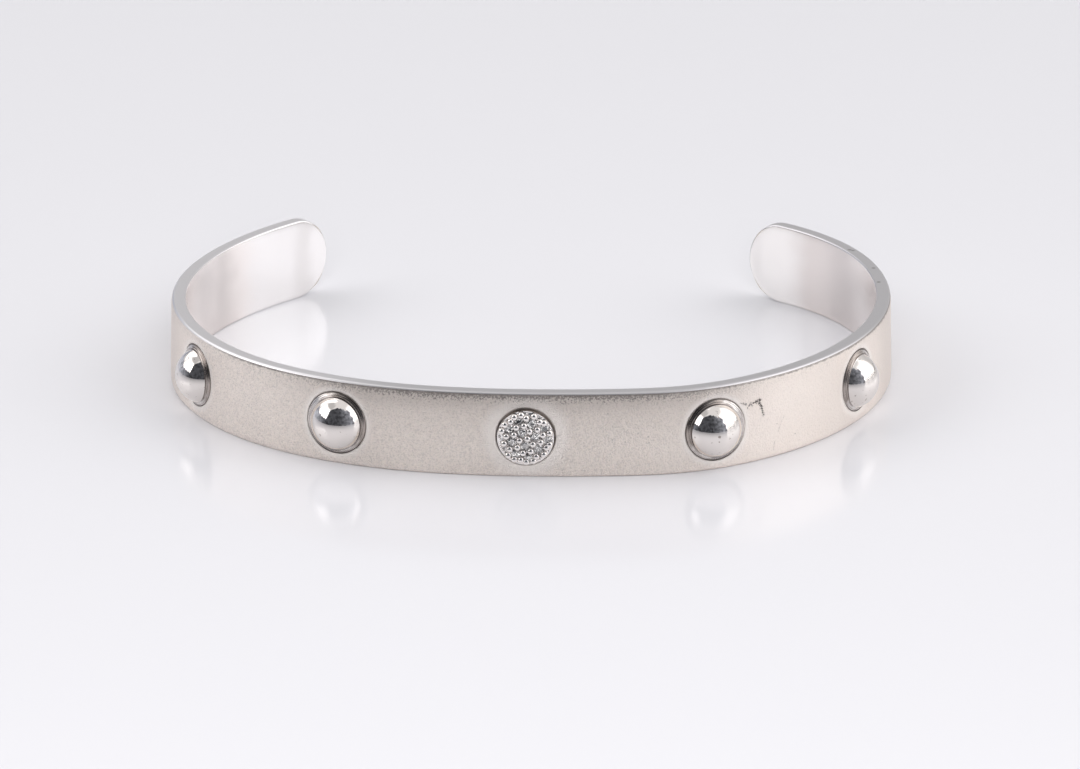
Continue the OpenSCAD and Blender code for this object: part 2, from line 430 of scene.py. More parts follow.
def matte_silver():
    """The sandblasted outer face, with its marks, painted shade under its top edge and round its sides, and
    round each recess a ring rubbed smooth, with a painted highlight.
    """
    material, tree, shader = new_material("matte silver")
    place, flat = object_place(tree), flat_place(tree)
    along, up, _ = parts(tree, flat)
    from_top = calc(tree, "SUBTRACT", BAND_HEIGHT, up)
    fine = grain(tree, place, FINE, 1.0, 0.6)
    clumps = grain(tree, place, CLUMPS, 2.0, 0.5)
    patches = grain(tree, place, PATCHES, 3.0, 0.55)
    to_recess = smallest(tree, *[distance_past(tree, flat, (s, z, 0), radius) for s, z, radius in RECESSES])
    to_disc = distance_past(tree, flat, (*DISC_PLACE, 0), DISC_RECESS_RADIUS)
    # A ring round each recess that is rubbed smoother and lighter: the lighter tint is a painted highlight,
    # wider round the disc
    burnish_and_highlight = fade(tree, plus(tree, to_recess, times(tree, clumps, 0.3)), 0.15, 0.9, 1.0, 0.0)
    painted_highlight_ring = largest(tree, times(tree, burnish_and_highlight, 0.9), fade(tree, to_disc, 0.3, 1.7, 0.8, 0.0))
    coarse = times(tree, fade(tree, along, *COARSE_RIGHT, 1.0, 0.3),
                   fade(tree, along, *COARSE_LEFT, 0.4, 1.0))
    marks = face_marks(tree, flat, place)
    silver = layered(
        tree, tint(tree, patches, FACE_DARKER, FACE_LIGHTER),
        (times(tree, fade(tree, clumps, 0.35, 0.65, 0.1, 0.0), coarse), BETWEEN_CLUMPS),
        (times(tree, fade(tree, fine, 0.3, 0.55, 0.3, 0.02), coarse), BETWEEN_GRAINS),
        # painted shade on the face
        (painted_face_shade(tree, along, from_top), PAINTED_SHADE_GREY),
        # painted highlight round the recesses
        (painted_highlight_ring, PAINTED_HIGHLIGHT_TINT),
        # painted shade under the top edge
        (painted_shade_under_edge(tree, along, from_top, fine, clumps), GRIME_AND_SHADE),
        (marks, MARK),
    )
    roughness = plus(tree, fade(tree, patches, 0.3, 0.7, 0.45, 0.5), times(tree, burnish_and_highlight, 0.05))
    dress(tree, shader, silver, roughness, BLASTED_METALLIC)

    rubbed = calc(tree, "SUBTRACT", 1.0, times(tree, burnish_and_highlight, 0.7))
    lip = largest(tree, fade(tree, to_disc, 0.0, 1.0, 0.8, 0.0), fade(tree, to_recess, 0.0, 0.8, 0.25, 0.0))
    height = plus(tree, fine, times(tree, clumps, 0.5))
    height = times(tree, height, fade(tree, along, 8, 22, 1.0, 0.4), rubbed)
    height = plus(tree, calc(tree, "SUBTRACT", height, times(tree, marks, 0.8)), lip)
    relief(tree, height, BLASTED_DEPTH, shader)
    return material


# The inner face and the edges

# Tints of the inner face, from the front to each tip
INNER_DARKER, INNER_LIGHTER = (0.935, 0.875, 0.84), (0.965, 0.905, 0.875)
INNER_FRONT = (0.71, 0.66, 0.64)
LEFT_TIP = (1.0, 0.98, 0.97)
LEFT_TIP_BAND = (0.6, 0.57, 0.55)
LEFT_ARM = (0.93, 0.87, 0.84)
RIGHT_ARM = (0.98, 0.935, 0.91)
RIGHT_BEND = (0.78, 0.725, 0.7)
RIGHT_TIP = (0.97, 0.945, 0.925)
PIT = (0.3, 0.2, 0.2)
INNER_PIT = Vector((29.39, 11.81, 2.23))


def satin_silver():
    """The buffed inner face. Its tints along the band stand for what it mirrors."""
    material, tree, shader = new_material("satin silver")
    place = object_place(tree)
    buffing = grain(tree, place, 1.2, 2.0, 0.5, (1.0, 1.0, 0.08))
    patches = grain(tree, place, 0.3, 2.0, 0.5)
    along = nudged(tree, parts(tree, flat_place(tree))["X"], patches, 3.0)
    to_pit = vector_calc(tree, "DISTANCE", place, INNER_PIT * MM)
    silver = layered(
        tree, tint(tree, patches, INNER_DARKER, INNER_LIGHTER),
        (fade(tree, along, -61.5, -58, 0.0, 0.8), INNER_FRONT),
        (fade(tree, along, -65, -59.5, 0.9, 0.0), LEFT_TIP),
        (between(tree, along, -71.5, -70.2, -69.8, -68, 0.25), LEFT_TIP_BAND),
        (between(tree, along, -58, -55, -36, -28, 0.7), LEFT_ARM),
        (between(tree, along, 36, 42, 54, 60, 0.8), RIGHT_ARM),
        (fade(tree, along, 57, 63, 0.0, 0.9), RIGHT_BEND),
        (fade(tree, along, 65, 69, 0.0, 0.95), RIGHT_TIP),
        (fade(tree, to_pit, 0.0, 0.1 * MM, 0.4, 0.0), PIT),
    )
    dress(tree, shader, silver, fade(tree, buffing, 0.3, 0.7, 0.24, 0.27))
    relief(tree, buffing, 0.0003, shader)
    return material


# Nicks on the top edge of the right arm
NICKS = (
    Vector((28.3, 15.1, 7.5)),
    Vector((28.6, 14.9, 7.5)),
    Vector((30.4, 10.1, 7.5)),
    Vector((30.8, 6.3, 7.5)),
)
# The edge's tone, and a lighter tint on the left arm that is a painted highlight
EDGE, LEFT_EDGE_HIGHLIGHT = (0.6, 0.588, 0.597), (0.75, 0.735, 0.745)


def edge_silver():
    """The filed and buffed edges, dirty in their nicks, with a painted highlight along the left arm."""
    material, tree, shader = new_material("edge silver")
    place = object_place(tree)
    filing = grain(tree, place, 3.0, 2.0, 0.5)
    to_nick = smallest(tree, *[vector_calc(tree, "DISTANCE", place, nick * MM) for nick in NICKS])
    nicked = fade(tree, plus(tree, to_nick, times(tree, filing, 0.12 * MM)), 0.12 * MM, 0.32 * MM, 0.75, 0.0)
    left_arm_highlight = fade(tree, parts(tree, place)["X"], -18 * MM, -9 * MM, 1.0, 0.0)
    silver = layered(tree, tint(tree, left_arm_highlight, EDGE, LEFT_EDGE_HIGHLIGHT), (nicked, GRIME_AND_SHADE))
    dress(tree, shader, silver, fade(tree, filing, 0.3, 0.7, 0.28, 0.33))
    relief(tree, filing, 0.0015, shader)
    return material


# Under the disc the recess catches more light, painted into its colour as a lighter patch
BELOW_DISC = (DISC_PLACE[0], NET_LIFT * RECESS_FACE + DISC_PLACE[1] - 2.6, 0)


def dull_silver():
    """The floors and walls of the recesses, never polished and dark, with a painted pool of light under the
    disc.
    """
    material, tree, shader = new_material("dull silver")
    patches = grain(tree, object_place(tree), 1.5, 3.0, 0.6)
    below_disc = vector_calc(tree, "DISTANCE", flat_place(tree), BELOW_DISC)
    silver = layered(tree, tint(tree, patches, (0.12, 0.1, 0.09), (0.3, 0.27, 0.25)),
                     (fade(tree, below_disc, 1.6, 2.9, 0.9, 0.0), (0.8, 0.75, 0.72)))
    dress(tree, shader, silver, 0.4)
    relief(tree, patches, 0.02, shader)
    return material


# The studs' materials

# Two small pits low on the third dome, each with its radius
DOME_PITS = (
    (Vector((16.99, -23.21, 3.61)), 0.13),
    (Vector((16.97, -23.18, 3.14)), 0.07),
)


def mirror_silver():
    """The polished domes, with a few specks."""
    material, tree, shader = new_material("mirror silver")
    place = object_place(tree)
    waves = grain(tree, place, 0.9, 2.0, 0.5)
    specks = grain(tree, place, 2.6, 2.0, 0.6)
    rough = times(tree, grain(tree, place, 9.0, 1.0, 0.5), 0.12 * MM)
    to_pits = [distance_past(tree, place, middle * MM, radius * MM) for middle, radius in DOME_PITS]
    pits = fade(tree, plus(tree, smallest(tree, *to_pits), rough), 0.02 * MM, 0.1 * MM, 0.8, 0.0)
    spots = largest(tree, pits, fade(tree, specks, 0.66, 0.71, 0.0, 0.55))
    dress(tree, shader, tint(tree, spots, (0.84, 0.795, 0.76), (0.25, 0.2, 0.17)), 0.05)
    relief(tree, waves, 0.006, shader)
    return material


# The net of turned pieces is their view from the front, this many millimetres across
PLAN_SIZE = 8
# Which way the painted shade lies on a skirt
SHADED_SIDE = (0.77, 0.64, 0.0)


def turned_silver():
    """The sloped skirts of the studs: fine rings from the lathe, with painted shade on one side."""
    material, tree, shader = new_material("turned silver")
    place = vector_calc(tree, "SUBTRACT", net_place(tree, "plan"), (0.5, 0.5, 0.0))
    out = vector_calc(tree, "DISTANCE", place, (0.0, 0.0, 0.0))
    side = calc(tree, "DIVIDE", vector_calc(tree, "DOT_PRODUCT", place, SHADED_SIDE), out)
    ring = tree.nodes.new("ShaderNodeCombineXYZ")
    tree.links.new(times(tree, out, PLAN_SIZE * MM), ring.inputs[0])
    tree.links.new(times(tree, side, 0.25 * MM), ring.inputs[1])
    rings = grain(tree, ring.outputs[0], 9.0, 1.0, 0.5)
    patches = grain(tree, object_place(tree), 0.9, 2.0, 0.6)
    shade_share = nudged(tree, side, patches, 1.2)
    # Lit and shaded tints of the rings: the dark one is painted shade
    light = tint(tree, fade(tree, rings, 0.35, 0.6), (0.5, 0.46, 0.44), (0.8, 0.77, 0.75))
    dark = tint(tree, fade(tree, rings, 0.35, 0.65), (0.17, 0.14, 0.125), (0.47, 0.42, 0.385))
    dress(tree, shader, tint(tree, fade(tree, shade_share, -0.1, 0.6), light, dark), 0.22)
    relief(tree, rings, 0.012, shader)
    return material


# The disc's materials

def setting_silver():
    """The disc that holds the stones, with its grains."""
    material, tree, shader = new_material("setting silver")
    dress(tree, shader, (0.94, 0.905, 0.88), 0.1)
    relief(tree, grain(tree, object_place(tree), 3.0, 2.0, 0.5), 0.008, shader)
    return material


def cut_silver():
    """The metal between the grains, cut away rough and never polished, painted darker in patches as shade
    between the grains.
    """
    material, tree, shader = new_material("cut silver")
    place = object_place(tree)
    cut_shade = fade(tree, grain(tree, place, 5.0, 2.0, 0.6), 0.38, 0.6)
    dress(tree, shader, tint(tree, cut_shade, (0.55, 0.525, 0.51), (1.0, 0.985, 0.97)), 0.2)
    facets(tree, place, 5.0, 0.7, shader)
    return material


def clear_stone():
    """A clear stone whose facets also shine like small mirrors."""
    material, tree, shader = new_material("clear stone")
    dress(tree, shader, (1, 0.985, 0.97), 0.0, 0.2)
    shader.inputs["IOR"].default_value = 2.2
    shader.inputs["Transmission Weight"].default_value = 1.0
    facets(tree, object_place(tree), 4.5, 0.35, shader)
    return material


# The band

# Round each recess the net of points is a square block. Its cells run in rings up to the recess's edge, with
# one close ring outside it, and turn square again towards the block's outline. Both are shares of the block.
BLOCK = 3.2
BLOCK_CELLS = 24
RING = 16 / 24
HOLDING_RING = 18 / 24
HOLDING_WIDTH = 0.1
CELL = 0.45
TIP_CELLS = 14
EDGE_ROWS = (0.0, 0.2, 0.28, 0.38)
SHIFT_EASING = 3

# The face falls away towards its outline, where the band was buffed round, and the inner face falls less
SHOULDER = 0.6
SHOULDER_DROP = 0.12
INNER_SHOULDER = 0.3

OUTER_ROUNDING = 0.22
INNER_ROUNDING = 0.15
RIM_ROUNDING = 0.045
RIM_ANGLE = 1.2
CREASE_ANGLE = 0.6

# Levels between the outer face and the recesses' floors are above this
ABOVE_FLOORS = -0.3
FACING_OUT = 0.9

# How far inwards and outwards a face of the edge may point: along the top, and anywhere else
TOP_EDGE = (-0.9, 0.8)
OTHER_EDGE = (-0.15, 0.15)


def spread(start, end, count):
    return [start + (end - start) * k / count for k in range(count)]


def band_columns():
    """Distances along the band that get a line of points, closer together at the recesses and tips."""
    columns = [LEFT_END + d for d in EDGE_ROWS[:-1]]
    here = LEFT_END + TIP_RADIUS
    columns += spread(LEFT_END + EDGE_ROWS[-1], here, TIP_CELLS)
    for middle, _, _ in sorted(RECESSES):
        columns += spread(here, middle - BLOCK, round((middle - BLOCK - here) / CELL))
        columns += spread(middle - BLOCK, middle + BLOCK, BLOCK_CELLS)
        here = middle + BLOCK
    tip_start = RIGHT_END - TIP_RADIUS
    columns += spread(here, tip_start, round((tip_start - here) / CELL))
    columns += spread(tip_start, RIGHT_END - EDGE_ROWS[-1], TIP_CELLS)
    return columns + [RIGHT_END - d for d in reversed(EDGE_ROWS)]


def band_rows():
    rows = list(EDGE_ROWS) + spread(BAND_HEIGHT / 2 - BLOCK, BAND_HEIGHT / 2 + BLOCK, BLOCK_CELLS)
    rows += [BAND_HEIGHT / 2 + BLOCK]
    return rows + [BAND_HEIGHT - d for d in reversed(EDGE_ROWS)]


def height_shift(along):
    """How much higher than the middle of the band a recess sits here, eased between recesses."""
    shift = 0.0
    for s, z, _ in RECESSES:
        near = 1 - min(1.0, max(0.0, (abs(along - s) - BLOCK) / SHIFT_EASING))
        shift += near * (z - BAND_HEIGHT / 2)
    return shift


def round_recess(along, height):
    """Draws the square net round a recess into rings, one of which is the recess's edge."""
    for s, z, radius in RECESSES:
        u, v = (along - s) / BLOCK, (height - z) / BLOCK
        m = max(abs(u), abs(v))
        if 0 < m < 1 - 1e-6:
            share = v / u if abs(u) >= abs(v) else u / v
            angle = math.pi / 4 * share
            ring = Vector((math.cos(angle), math.sin(angle)))
            if abs(u) < abs(v):
                ring = Vector((ring.y, ring.x))
                ring *= math.copysign(1, v)
            else:
                ring *= math.copysign(1, u)
            square = Vector((u, v)) / m * BLOCK
            if m <= RING:
                point = ring * radius * m / RING
            elif m <= HOLDING_RING:
                point = ring * (radius + HOLDING_WIDTH * (m - RING) / (HOLDING_RING - RING))
            else:
                out = (m - HOLDING_RING) / (1 - HOLDING_RING)
                point = (ring * (radius + HOLDING_WIDTH)).lerp(square, out)
            return s + point.x, z + point.y
    return along, height


def round_tip(along, height):
    """Draws the square end of the net into the round tip. Also gives the distance to the outline."""
    half = BAND_HEIGHT / 2
    v = (height - half) / half
    u = max(along - (RIGHT_END - TIP_RADIUS), (LEFT_END + TIP_RADIUS) - along, 0) / TIP_RADIUS
    if u == 0:
        return along, height, half * (1 - abs(v))
    u, v = u * math.sqrt(1 - v * v / 2), v * math.sqrt(1 - u * u / 2)
    clear = half * (1 - math.hypot(u, v))
    side = RIGHT_END - TIP_RADIUS + u * TIP_RADIUS if along > 0 else LEFT_END + TIP_RADIUS - u * TIP_RADIUS
    return side, half + v * half, clear


def shoulder(clear):
    """How far the face falls away at a distance from its outline."""
    return SHOULDER_DROP * (1 - min(clear, SHOULDER) / SHOULDER) ** 2


def in_recess(point, margin=0.0):
    for s, z, radius in RECESSES:
        if math.hypot(point.x - s, point.y - z) < radius + margin:
            return s, z, radius
    return None


def flat_band():
    """The band laid out flat: two faces, closed along the outline. Gives the outer and inner outlines too."""
    columns, rows = band_columns(), band_rows()
    bm = bmesh.new()
    bmesh.ops.create_grid(bm, x_segments=len(columns) - 1, y_segments=len(rows) - 1, size=0.5)
    for v in bm.verts:
        i = round((v.co.x + 0.5) * (len(columns) - 1))
        j = round((v.co.y + 0.5) * (len(rows) - 1))
        along, height = columns[i], rows[j]
        if len(EDGE_ROWS) - 1 < j < len(rows) - len(EDGE_ROWS):
            height += height_shift(along)
        along, height, clear = round_tip(*round_recess(along, height))
        v.co = (along, height, -shoulder(clear))

    copy = bmesh.ops.duplicate(bm, geom=bm.faces[:])["geom"]
    inner_faces = [g for g in copy if isinstance(g, bmesh.types.BMFace)]
    for v in {v for f in inner_faces for v in f.verts}:
        v.co.z = -BAND_THICKNESS - v.co.z * INNER_SHOULDER
    bmesh.ops.reverse_faces(bm, faces=inner_faces)

    outline = [e for e in bm.edges if e.is_boundary]
    outer_outline = [e for e in outline if e.verts[0].co.z > -BAND_THICKNESS / 2]
    inner_outline = [e for e in outline if e.verts[0].co.z < -BAND_THICKNESS / 2]
    bmesh.ops.bridge_loops(bm, edges=outline)
    return bm, outer_outline, inner_outline


def sink_recesses(bm):
    """Sinks the floors of the recesses, and gives the rims round them."""
    floors = []
    for f in bm.faces:
        middle = f.calc_center_median()
        if middle.z > ABOVE_FLOORS and f.normal.z > FACING_OUT and in_recess(middle, -0.01):
            floors.append(f)
    sunk = bmesh.ops.extrude_face_region(bm, geom=floors)["geom"]
    for v in [g for g in sunk if isinstance(g, bmesh.types.BMVert)]:
        v.co.z = -RECESS_DEPTH

    rims = []
    for e in bm.edges:
        sharp = len(e.link_faces) == 2 and e.calc_face_angle() > RIM_ANGLE
        if sharp and all(v.co.z > ABOVE_FLOORS and in_recess(v.co, 0.01) for v in e.verts):
            rims.append(e)
    return rims


def round_off(bm, edges, width, segments):
    bmesh.ops.bevel(bm, geom=edges, offset=width, offset_type="OFFSET", segments=segments, profile=0.5,
                    affect="EDGES", material=-1)


def band_face_kind(f):
    """A face's kind. At the top most of each rounded corner belongs to the edge, at the bottom little."""
    middle = f.calc_center_median()
    if in_recess(middle, -0.02) and middle.z > -BAND_THICKNESS + 0.2:
        return RECESS_FACE
    inwards, outwards = TOP_EDGE if f.normal.y > -0.2 else OTHER_EDGE
    if inwards < f.normal.z < outwards:
        return EDGE_FACE
    return OUTER_FACE if f.normal.z > 0 else INNER_FACE


def lay_net(bm):
    """Gives each face its material and its place on the flat net."""
    bm.normal_update()
    flat = bm.loops.layers.uv.new("flat")
    for f in bm.faces:
        f.smooth = True
        f.material_index = band_face_kind(f)
        for loop in f.loops:
            x, y, _ = loop.vert.co
            loop[flat].uv = (x / NET_SIZE + 0.5, (y + NET_LIFT * f.material_index) / NET_SIZE)
    sharpen(bm, CREASE_ANGLE)


def sharpen(bm, angle):
    for e in bm.edges:
        if len(e.link_faces) == 2 and e.calc_face_angle() > angle:
            e.smooth = False


def bend_band(bm):
    """Bends the flat band to its plan. The recesses' floors stay flat, square to what sits in them."""
    disc_recess = RECESSES[-1]
    for v in bm.verts:
        recess = in_recess(v.co, 0.001)
        if recess and -RECESS_DEPTH - 0.01 < v.co.z < ABOVE_FLOORS:
            s, z, _ = recess
            lean = 0 if recess == disc_recess else BAND_LEAN
            v.co = seat(s, z, lean) @ Vector((v.co.x - s, v.co.y - z, v.co.z))
        else:
            v.co = on_band(*v.co)


def build_band(materials):
    bm, outer_outline, inner_outline = flat_band()
    rims = sink_recesses(bm)
    round_off(bm, outer_outline, OUTER_ROUNDING, 5)
    round_off(bm, inner_outline, INNER_ROUNDING, 5)
    round_off(bm, rims, RIM_ROUNDING, 3)
    lay_net(bm)
    bend_band(bm)
    finished("band", bm, materials, ["cuff_band"])


# Studs

STUD_NODES = ("stud_1", "stud_2", "stud_3", "stud_4")
FLOOR_GAP = 0.04
FOOT_RADIUS = 2.74
DOME_RADIUS = 2.33
DOME_FOOT = 0.21
DOME_TOP = 1.75
DOME_SHIFT = 0.08
DOME_STEPS = 28
TURNING_STEPS = 96

# The skirt's sloped rings from the foot up: radius and level at both ends, and steps. A groove follows.
SKIRT_RINGS = (
    ((FOOT_RADIUS, -0.1), (2.62, 0.03), 4),
    ((2.605, 0.015), (2.5, 0.12), 5),
    ((2.485, 0.105), (2.39, 0.21), 5),
)
RING_BULGE = 0.01
GROOVE = [(2.365, 0.19), (2.345, 0.19)]
STUD_CORNER_ANGLE = 0.45
STUD_CORNER = 0.005

# Above this the dome and its skirt show. The foot below is hidden in the recess.
HIDDEN_BELOW = -0.2


def turned(profile, steps):
    """Turns a profile of radius and level round the Z axis, and closes its poles."""
    bm = bmesh.new()
    points = [bm.verts.new((r, 0, z)) for r, z in profile]
    edges = [bm.edges.new(pair) for pair in zip(points, points[1:])]
    bmesh.ops.spin(bm, geom=points + edges, cent=(0, 0, 0), axis=(0, 0, 1), angle=2 * math.pi,
                   steps=steps, use_merge=True)
    bmesh.ops.remove_doubles(bm, verts=bm.verts[:], dist=1e-4)
    bmesh.ops.recalc_face_normals(bm, faces=bm.faces[:])
    return bm


def cap_profile(foot, low, high, count):
    """A round cap's half section, from its foot to its top."""
    rise = high - low
    ball = (foot * foot + rise * rise) / (2 * rise)
    reach = math.asin(foot / ball)
    return [(ball * math.sin(reach * (1 - k / count)), high - ball + ball * math.cos(reach * (1 - k / count)))
            for k in range(count + 1)]


def bulge_profile(start, end, rise, count):
    """A sloped step that bulges a little between two points of radius and level."""
    start, end = Vector(start), Vector(end)
    slope = end - start
    outwards = Vector((slope.y, -slope.x)).normalized()
    points = [start + slope * k / count + outwards * rise * math.sin(math.pi * k / count)
              for k in range(count + 1)]
    return [tuple(p) for p in points]


def lower_dome(bm):
    """Sets the dome a little low in its recess. The skirt leans with it and its foot stays."""
    for v in bm.verts:
        if v.co.z > HIDDEN_BELOW:
            v.co.y -= DOME_SHIFT * min(1, (FOOT_RADIUS - v.co.xy.length) / (FOOT_RADIUS - DOME_RADIUS))


def build_stud(number, materials):
    """A polished dome on a skirt of sloped rings."""
    back = -RECESS_DEPTH + FLOOR_GAP
    profile = [(0, back), (FOOT_RADIUS, back)]
    for start, end, steps in SKIRT_RINGS:
        profile += bulge_profile(start, end, RING_BULGE, steps)
    profile += GROOVE + cap_profile(DOME_RADIUS, DOME_FOOT, DOME_TOP, DOME_STEPS)
    bm = turned(profile, TURNING_STEPS)
    corners = [e for e in bm.edges if len(e.link_faces) == 2 and e.calc_face_angle() > STUD_CORNER_ANGLE
               and max(v.co.xy.length for v in e.verts) > 1]
    round_off(bm, corners, STUD_CORNER, 2)

    # The skirts of the two studs at the right get their painted shade on their left side
    plan = bm.loops.layers.uv.new("plan")
    mirror = 1 if number < 2 else -1
    for f in bm.faces:
        f.smooth = True
        middle = f.calc_center_median()
        f.material_index = 1 if middle.xy.length > DOME_RADIUS - 0.005 or middle.z < DOME_FOOT else 0
        for loop in f.loops:
            x, y, _ = loop.vert.co
            loop[plan].uv = (mirror * x / PLAN_SIZE + 0.5, y / PLAN_SIZE + 0.5)
    lower_dome(bm)
    bm.transform(seat(*STUD_PLACES[number]))
    finished("stud_%d_polished" % (number + 1), bm, materials, [STUD_NODES[number]])


# Disc of stones

STONE_NODES = ["stone_%02d" % k for k in range(1, 13)]
STONE_PITCH = 1.17
STONE_TURN = math.radians(-16)
STONE_SHIFT = Vector((0.17, 0.03))
DISC_RIM_LEVEL = 0.3
DISC_CROWN = 0.2
DISC_RIM_RADIUS = 2.42
DISC_FLANGE = 0.14
DISC_DRAWN_IN = 0.07
# How far the painted shade on the disc's rim is turned
DISC_SHADE_TURN = math.radians(-30)
DISC_CREASE_ANGLE = 0.5
CROWN_FOOT = 2.32
CROWN_BALL = (CROWN_FOOT ** 2 + DISC_CROWN ** 2) / (2 * DISC_CROWN)
GRAIN_RADIUS = 0.3
GRAIN_STAND = 0.1
GRAINS_WITHIN = 2.5
GRAINS_OUT_TO = 2.1
RIM_GRAINS = 34
RIM_GRAINS_AT = 2.2
RIM_GRAIN_RADIUS = 0.13
RIM_GRAIN_STAND = 0.02


def grain_places():
    """The middles of the grains between the stones, as in the part's source."""
    row = STONE_PITCH * Vector((math.cos(STONE_TURN), math.sin(STONE_TURN)))
    column = STONE_PITCH * Vector((math.cos(STONE_TURN - math.pi / 3), math.sin(STONE_TURN - math.pi / 3)))
    start = STONE_SHIFT - (row + column) / 3
    places = []
    for j in range(-4, 5):
        for i in range(-4, 5):
            for share in (1 / 3, 2 / 3):
                place = start + i * row + j * column + share * (row + column)
                if place.length < GRAINS_WITHIN:
                    within = place.length <= GRAINS_OUT_TO
                    places.append(place if within else place.normalized() * GRAINS_OUT_TO)
    return places


def on_crown(place, stand):
    """Stands something on the disc's domed face."""
    lean = math.asin(place.length / CROWN_BALL)
    turn = Matrix.Rotation(math.atan2(place.y, place.x), 4, "Z") @ Matrix.Rotation(lean, 4, "Y")
    centre = Matrix.Translation((0, 0, DISC_RIM_LEVEL + DISC_CROWN - CROWN_BALL))
    return centre @ turn @ Matrix.Translation((0, 0, CROWN_BALL)) @ Matrix.Translation((0, 0, stand))


def draw_in_flange(bm, disc):
    """Draws the plate's outer edge in as far as the recess round it."""
    for v in bm.verts:
        place = disc.inverted() @ v.co
        past_rim = place.xy.length - DISC_RIM_RADIUS
        if past_rim > 0:
            drawn_in = 1 - past_rim / DISC_FLANGE * DISC_DRAWN_IN / place.xy.length
            v.co = disc @ Vector((place.x * drawn_in, place.y * drawn_in, place.z))


def add_grains(bm, disc):
    """The grains between the stones, and smaller, uneven ones along the rim."""
    for place in grain_places():
        stand = disc @ on_crown(place, GRAIN_STAND)
        bmesh.ops.create_icosphere(bm, subdivisions=3, radius=GRAIN_RADIUS, matrix=stand)
    for k in range(RIM_GRAINS):
        turn = 2 * math.pi * (k + 0.2 * math.sin(5 * k)) / RIM_GRAINS
        place = (RIM_GRAINS_AT + 0.04 * math.sin(3 * k)) * Vector((math.cos(turn), math.sin(turn)))
        stand = disc @ on_crown(place, RIM_GRAIN_STAND)
        radius = RIM_GRAIN_RADIUS + 0.03 * math.sin(7 * k)
        bmesh.ops.create_icosphere(bm, subdivisions=2, radius=radius, matrix=stand)


def build_setting(materials):
    """The CAD's disc with its stone seats, merged and smoothed, under grains that stand a little higher."""
    bm = bmesh.new()
    bm.from_mesh(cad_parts["pave_setting"].data)
    bmesh.ops.remove_doubles(bm, verts=bm.verts[:], dist=1e-7)
    disc = seat(*DISC_PLACE, 0)
    draw_in_flange(bm, disc)
    for f in bm.faces:
        middle = disc.inverted() @ f.calc_center_median()
        if middle.xy.length < CROWN_FOOT - 0.02:
            f.material_index = 1
        # The rim takes the skirts' material, with its painted shade on one side
        elif middle.xy.length > DISC_RIM_RADIUS - 0.01:
            f.material_index = 2
    plan = bm.loops.layers.uv.new("plan")
    to_disc = Matrix.Rotation(DISC_SHADE_TURN, 4, "Z") @ disc.inverted()
    for loop in [loop for f in bm.faces for loop in f.loops]:
        x, y, _ = to_disc @ loop.vert.co
        loop[plan].uv = (x / PLAN_SIZE + 0.5, y / PLAN_SIZE + 0.5)
    add_grains(bm, disc)
    for f in bm.faces:
        f.smooth = True
    sharpen(bm, DISC_CREASE_ANGLE)
    finished("pave_disc", bm, materials, ["pave_setting"])


def dress_stones(material):
    for name in STONE_NODES:
        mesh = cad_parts[name].data
        mesh.materials.clear()
        mesh.materials.append(material)


# Floor, light and camera

def build_floor():
    material, tree, shader = new_material("pale floor")
    dress(tree, shader, (0.79, 0.785, 0.81), 0.14, 0.0)
    bm = bmesh.new()
    bmesh.ops.create_grid(bm, x_segments=1, y_segments=1, size=4.0)
    floor = placed("floor", bm, [material])


# Parts of the tent that are brighter or darker than its cloth. Each has its sides, measured round from the
# front, its bottom and top, measured up from the horizon, both in degrees with the softness of their ends,
# and its level.
TENT_PATCHES = (
    ((-112, -52, 6), (48, 74, 5), -0.2),
    ((-110, -45, 5), (2, 50, 5), 1.1),
    ((52, 132, 8), (6, 62, 8), 0.75),
    ((-150, -116, 5), (24, 76, 6), 0.65),
)
CLOTH_LEVEL = 0.63
BEHIND_LEVEL = -0.15
TENT_LEVEL = 1.34

# The dark opening, arched at its top, and the gap at the left: from, to and softness of the ends
OPENING_SIDES = (-56, 58, 1.5)
ARCH_TOP = 70.0
ARCH_DROP = 20.0
ARCH_MIDDLE = -3.0
ARCH_HALF_WIDTH = 56
LEFT_GAP_SIDES = (-160, -54, 1.5)
LEFT_GAP_HEIGHTS = (-12, 19, 1.5)

# Two slanting seams in the cloth at the right
SEAM_SIDES = (66, 150, 3)
SEAM_HEIGHTS = ((10, 12.5, 0.6), (4.5, 6.5, 0.6))
SEAM_SLANT = 0.11
SEAM_MIDDLE = 78.0
SEAM_LEVEL = 0.35

# How far the folds of the cloth move the dark parts' ends
FOLD_REACH = 22.0


def strip(tree, value, low, high, soft):
    """1 between low and high, with soft ends."""
    return between(tree, value, low - soft, low + soft, high - soft, high + soft)


def dark_part(tree, aside, above):
    """1 in the opening at the front and in the low gap at the left."""
    off_middle = times(tree, plus(tree, aside, -ARCH_MIDDLE), 1 / ARCH_HALF_WIDTH)
    arch = calc(tree, "SUBTRACT", ARCH_TOP, times(tree, off_middle, off_middle, ARCH_DROP))
    under_arch = fade(tree, calc(tree, "SUBTRACT", arch, above), -2, 2)
    opening = times(tree, strip(tree, aside, *OPENING_SIDES), under_arch)
    left_gap = times(tree, strip(tree, aside, *LEFT_GAP_SIDES), strip(tree, above, *LEFT_GAP_HEIGHTS))
    return largest(tree, opening, left_gap)


def cloth_level(tree, around, height, above):
    """How bright the tent's cloth is, with its soft boxes and two seams at the right."""
    behind = times(tree, fade(tree, calc(tree, "ABSOLUTE", around), 95, 130),
                   fade(tree, height, 20, 55, 1.0, 0.0))
    level = plus(tree, CLOTH_LEVEL, times(tree, behind, BEHIND_LEVEL))
    for sides, heights, patch_level in TENT_PATCHES:
        patch = times(tree, strip(tree, around, *sides), strip(tree, height, *heights))
        level = plus(tree, level, times(tree, patch, patch_level))
    slanted = nudged(tree, above, around, SEAM_SLANT, SEAM_MIDDLE)
    seams = largest(tree, *[strip(tree, slanted, *heights) for heights in SEAM_HEIGHTS])
    seam = times(tree, strip(tree, around, *SEAM_SIDES), seams)
    return times(tree, level, fade(tree, seam, 0, 1, 1.0, SEAM_LEVEL))


